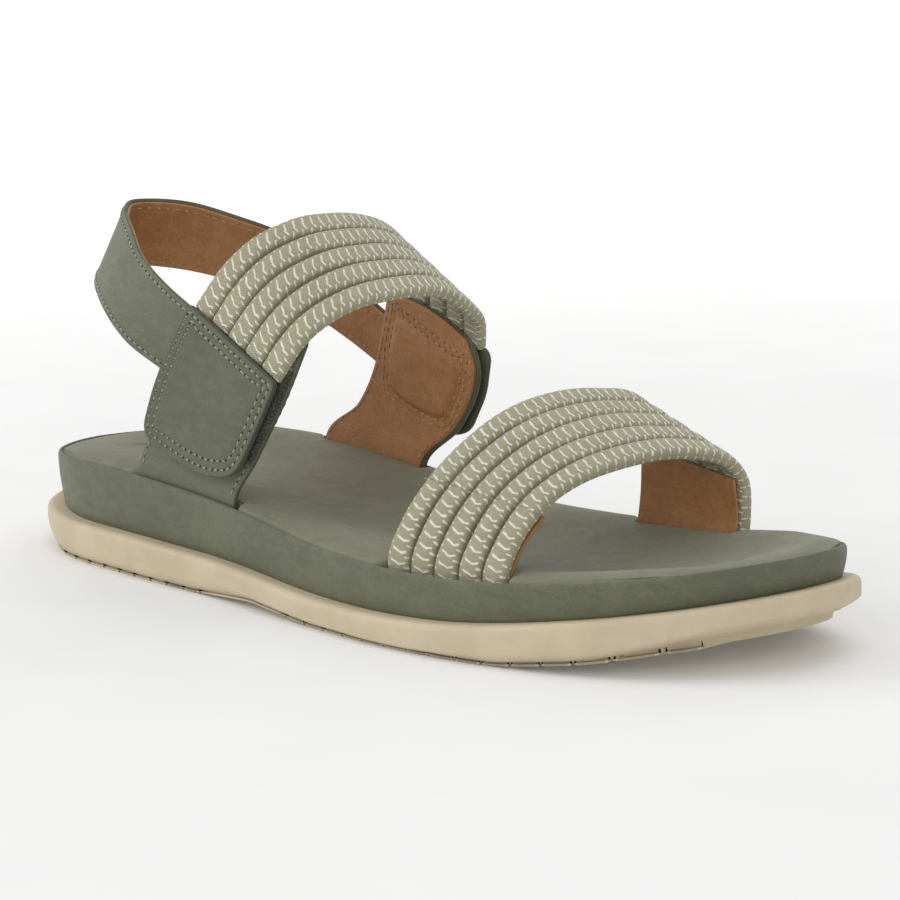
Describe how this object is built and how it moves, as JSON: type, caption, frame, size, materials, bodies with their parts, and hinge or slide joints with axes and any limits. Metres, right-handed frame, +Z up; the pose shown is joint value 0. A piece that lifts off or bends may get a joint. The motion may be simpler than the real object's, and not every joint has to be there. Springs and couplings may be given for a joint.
{
  "type": "strappy sandal",
  "caption": "Flat right-foot sandal: elastic cord straps over toes and instep, hook-and-loop closure tab, leather heel sling, padded footbed and moulded cup sole.",
  "frame": {"origin": "on the ground under the middle of the sole's length and width", "axes": "+X towards the toe, +Y towards the inner side of the foot, +Z up"},
  "size_m": [0.2631, 0.094, 0.0943],
  "materials": {
    "sole_rubber": "matte moulded rubber, cream",
    "foam": "closed-cell foam",
    "board": "fibre board",
    "sock_leather": "smooth matte leather look, sage green",
    "green_leather": "soft nubuck look, sage green",
    "brown_leather": "smooth leather, tan brown",
    "elastic_cord": "flat woven elastic, khaki with off-white threads",
    "loop_fabric": "loop pile",
    "hook_plastic": "hook tape"
  },
  "bodies": {
    "root": {"outsole": "sole_rubber", "midsole": "foam", "insole_board": "board", "footbed_foam": "foam", "sock_cover": "sock_leather", "footbed_wrap": "green_leather", "toe_cord_1": "elastic_cord", "toe_cord_2": "elastic_cord", "toe_cord_3": "elastic_cord", "toe_cord_4": "elastic_cord", "toe_cord_5": "elastic_cord", "toe_lining_outer": "brown_leather", "toe_lining_inner": "brown_leather", "outer_quarter": "green_leather", "outer_quarter_lining": "brown_leather", "loop_tape": "loop_fabric", "inner_quarter": "green_leather", "inner_quarter_lining": "brown_leather", "inner_patch": "green_leather"},
    "instep_strap": {"instep_cord_1": "elastic_cord", "instep_cord_2": "elastic_cord", "instep_cord_3": "elastic_cord", "instep_cord_4": "elastic_cord", "instep_cord_5": "elastic_cord"},
    "closure_tab": {"closure_tab": "green_leather", "hook_tape": "hook_plastic"},
    "heel_sling": {"heel_sling": "green_leather", "heel_sling_lining": "brown_leather"}
  },
  "joints": [
    {"name": "instep_strap_open", "type": "hinge", "parent": "root", "child": "instep_strap", "pos_m": [-0.02434, 0.03957, 0.06351], "axis": [-0.9242, 0.0342, 0.3803], "range_deg": [0, 95]},
    {"name": "closure_tab_peel", "type": "hinge", "parent": "instep_strap", "child": "closure_tab", "pos_m": [-0.02381, -0.03649, 0.06631], "axis": [-0.9175, 0.1064, 0.3832], "range_deg": [0, 75]},
    {"name": "heel_sling_fold", "type": "hinge", "parent": "root", "child": "heel_sling", "pos_m": [-0.0465, 0.001, 0.0588], "axis": [0.043, 0.9959, -0.08], "range_deg": [-18, 6]}
  ]
}
